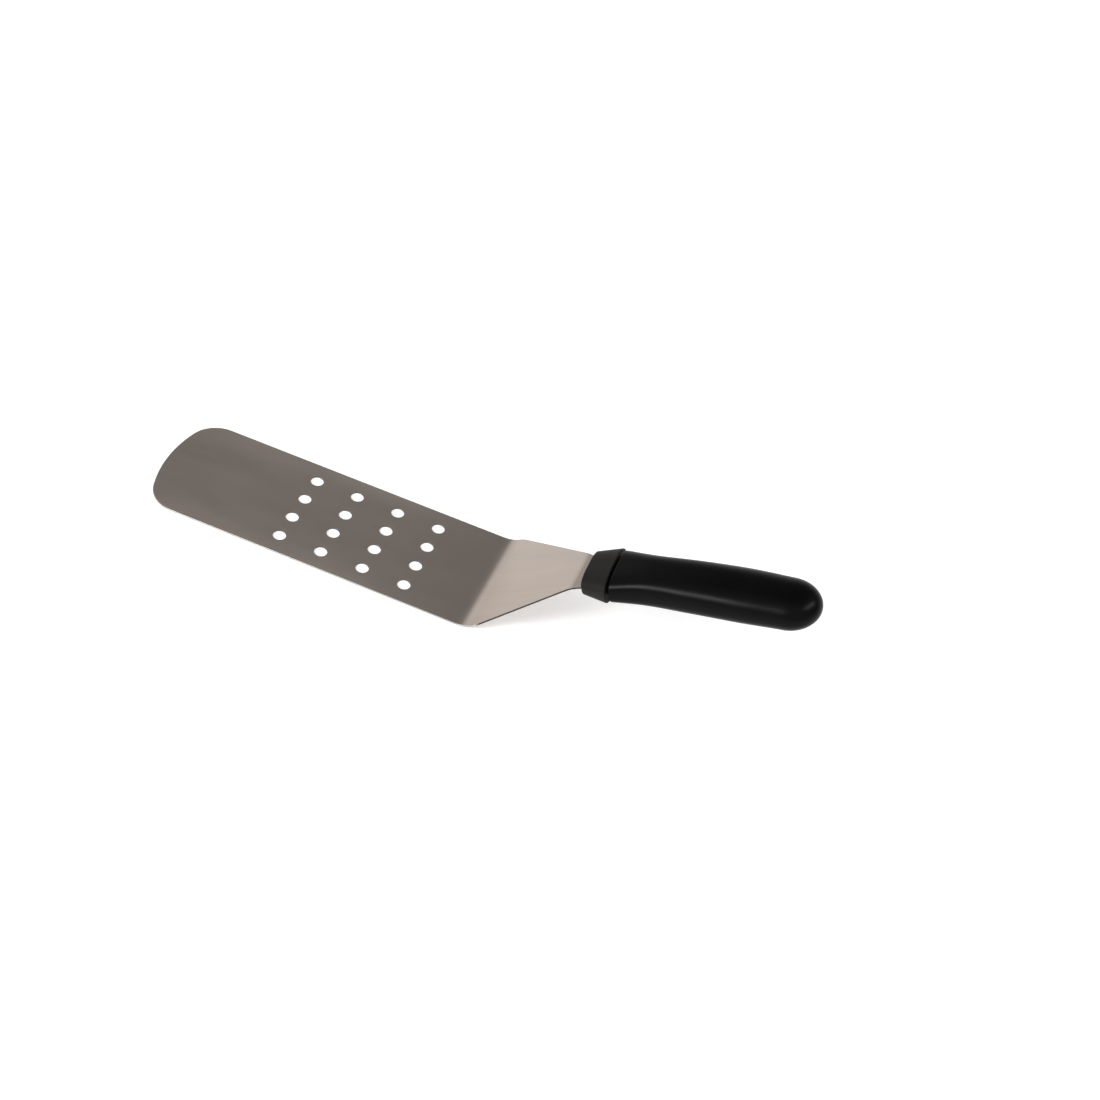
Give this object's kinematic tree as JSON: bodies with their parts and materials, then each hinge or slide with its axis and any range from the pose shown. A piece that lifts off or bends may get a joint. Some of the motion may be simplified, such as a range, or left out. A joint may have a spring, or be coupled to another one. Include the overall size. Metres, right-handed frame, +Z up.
{
  "type": "grill spatula",
  "caption": "Cranked grill turner: a flat perforated steel blade with a rounded tip, an upswept tapering neck and a smooth black moulded handle.",
  "frame": {"origin": "middle of the bounding box in plan, on the underside of the flat blade, which is the surface the tool rests on", "axes": "+X from the blade's tip toward the handle's butt, +Y across the blade, +Z up, away from the surface the blade lies on"},
  "size_m": [0.3782, 0.075, 0.0822],
  "materials": {
    "steel": "satin",
    "collar": "matte",
    "grip": "satin",
    "core": "matte",
    "rivet": "satin"
  },
  "bodies": {
    "root": {"blade": "steel", "front_collar": "collar", "grip": "grip", "core_upper_half": "core", "core_lower_half": "core", "tang_rivet_front": "rivet", "tang_rivet_rear": "rivet"}
  },
  "joints": []
}
